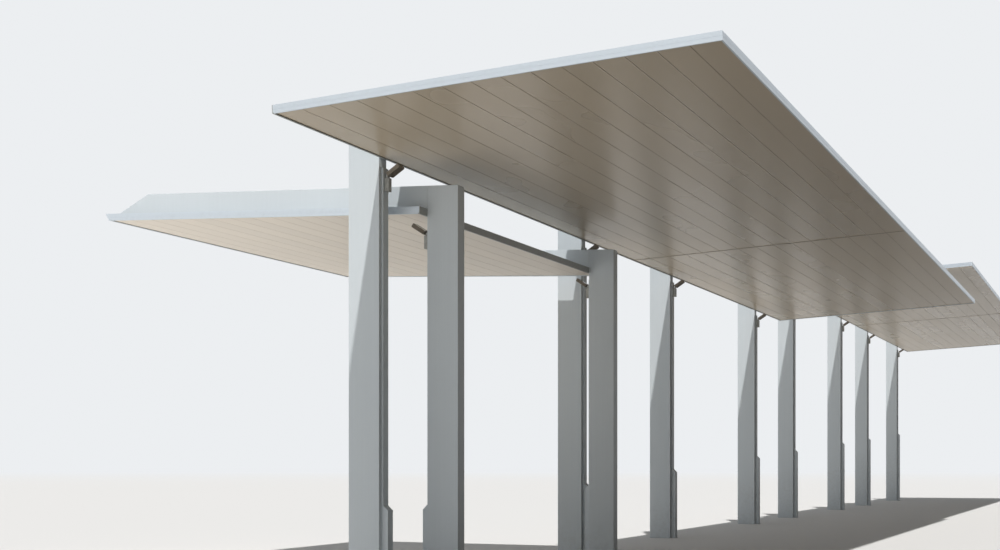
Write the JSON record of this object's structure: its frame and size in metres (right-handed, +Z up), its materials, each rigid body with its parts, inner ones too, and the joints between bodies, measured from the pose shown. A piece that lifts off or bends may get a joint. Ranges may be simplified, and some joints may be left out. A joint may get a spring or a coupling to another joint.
{
  "type": "bus shelter",
  "caption": "Stepped bus shelter: thin board-lined roofs hung under cantilever arms on a row of slim posts, with a lower roof reaching out the other way.",
  "frame": {"origin": "middle of the first high post's flat foot, at the lowest ground", "axes": "+X across the shelter towards the free edge of the high roofs, +Y along the row of posts, +Z up"},
  "size_m": [6.6081, 35.52, 4.7575],
  "materials": {
    "silver_paint": "satin metallic paint",
    "edge_trim": "satin anodised",
    "roof_sheet": "satin coated sheet",
    "taupe_boards": "semi-gloss",
    "pale_boards": "semi-gloss",
    "lamp_body": "satin",
    "lamp_bracket": "satin",
    "lamp_glass": "clear"
  },
  "bodies": {
    "root": {"high_post_1": "silver_paint", "high_post_2": "silver_paint", "high_post_3": "silver_paint", "high_post_4": "silver_paint", "high_post_5": "silver_paint", "high_post_6": "silver_paint", "high_post_7": "silver_paint", "high_post_8": "silver_paint", "low_post_1": "silver_paint", "low_post_2": "silver_paint", "high_arms_1": "silver_paint", "high_arms_2": "silver_paint", "high_arms_3": "silver_paint", "high_arms_4": "silver_paint", "low_arms": "silver_paint", "high_covers_1": "silver_paint", "high_covers_2": "silver_paint", "high_covers_3": "silver_paint", "high_covers_4": "silver_paint", "low_covers": "silver_paint", "high_roof_1": "roof_sheet", "high_roof_2": "roof_sheet", "high_roof_3": "roof_sheet", "high_roof_4": "roof_sheet", "low_roof": "roof_sheet", "high_boards_1": "taupe_boards", "high_boards_2": "taupe_boards", "high_boards_3": "taupe_boards", "high_boards_4": "taupe_boards", "low_boards": "pale_boards", "high_post_trim_1": "edge_trim", "high_free_trim_1": "edge_trim", "high_end_trims_1": "edge_trim", "high_post_trim_2": "edge_trim", "high_free_trim_2": "edge_trim", "high_end_trims_2": "edge_trim", "low_post_trim": "edge_trim", "low_free_trim": "edge_trim", "low_end_trims": "edge_trim", "lamp_brackets_1": "lamp_bracket", "lamp_brackets_2": "lamp_bracket", "lamp_brackets_low": "lamp_bracket", "lamp_heads_1": "lamp_body", "lamp_heads_2": "lamp_body", "lamp_heads_low": "lamp_body", "lamp_glass": "lamp_glass"}
  },
  "joints": []
}
